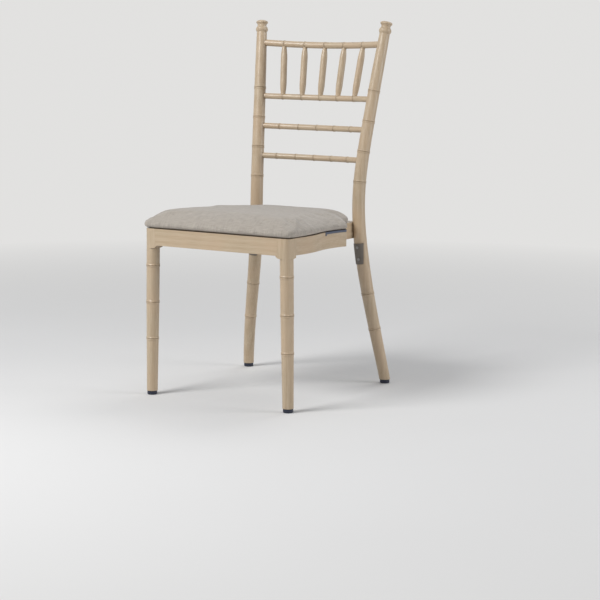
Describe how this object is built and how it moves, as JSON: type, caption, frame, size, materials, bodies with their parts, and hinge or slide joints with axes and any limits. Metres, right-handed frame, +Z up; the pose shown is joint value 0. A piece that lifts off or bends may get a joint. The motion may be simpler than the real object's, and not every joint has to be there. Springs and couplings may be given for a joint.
{
  "type": "chiavari chair",
  "caption": "Stacking dining chair with turned bamboo-ringed posts and legs, five back spindles over three bowed rails, and a crowned linen seat pad on a dowelled frame",
  "frame": {"origin": "on the floor, under the middle of the chair's bounding box", "axes": "+X to the side, on the right of someone who looks at the chair's front; +Y from the front of the seat to the back; +Z up"},
  "size_m": [0.447, 0.5155, 0.9199],
  "materials": {
    "pale_wood": "clear satin lacquer over pale close-grained hardwood",
    "block_wood": "bare sawn hardwood",
    "board_wood": "plywood",
    "screw_steel": "zinc plated",
    "foam": "upholstery foam",
    "linen": "plain weave linen, grey taupe, matte",
    "dust_cloth": "thin black lining cloth",
    "blue_strip": "slate blue, satin moulded",
    "grey_plate": "grey, satin moulded",
    "glide_nylon": "dark navy nylon"
  },
  "bodies": {
    "root": {"back_spindle_1": "pale_wood", "back_spindle_2": "pale_wood", "back_spindle_3": "pale_wood", "back_spindle_4": "pale_wood", "back_spindle_5": "pale_wood", "corner_block_screws": "screw_steel", "crest_rail": "pale_wood", "dust_cover": "dust_cloth", "foot_glide_front_left": "glide_nylon", "foot_glide_front_right": "glide_nylon", "foot_glide_rear_left": "glide_nylon", "foot_glide_rear_right": "glide_nylon", "front_corner_block_left": "block_wood", "front_corner_block_right": "block_wood", "front_leg_left": "pale_wood", "front_leg_right": "pale_wood", "front_rail_dowels": "block_wood", "front_seat_rail": "pale_wood", "lower_back_rail": "pale_wood", "middle_back_rail": "pale_wood", "post_plate_left": "grey_plate", "post_plate_right": "grey_plate", "post_plate_screws": "screw_steel", "rear_corner_block_left": "block_wood", "rear_corner_block_right": "block_wood", "rear_post_left": "pale_wood", "rear_post_right": "pale_wood", "rear_rail_dowels": "block_wood", "rear_seat_rail": "pale_wood", "seat_board": "board_wood", "seat_cover": "linen", "seat_foam": "foam", "seat_screws": "screw_steel", "side_rail_dowels": "block_wood", "side_seat_rail_left": "pale_wood", "side_seat_rail_right": "pale_wood", "stacking_strip_left": "blue_strip", "stacking_strip_right": "blue_strip", "upper_back_rail": "pale_wood"}
  },
  "joints": []
}
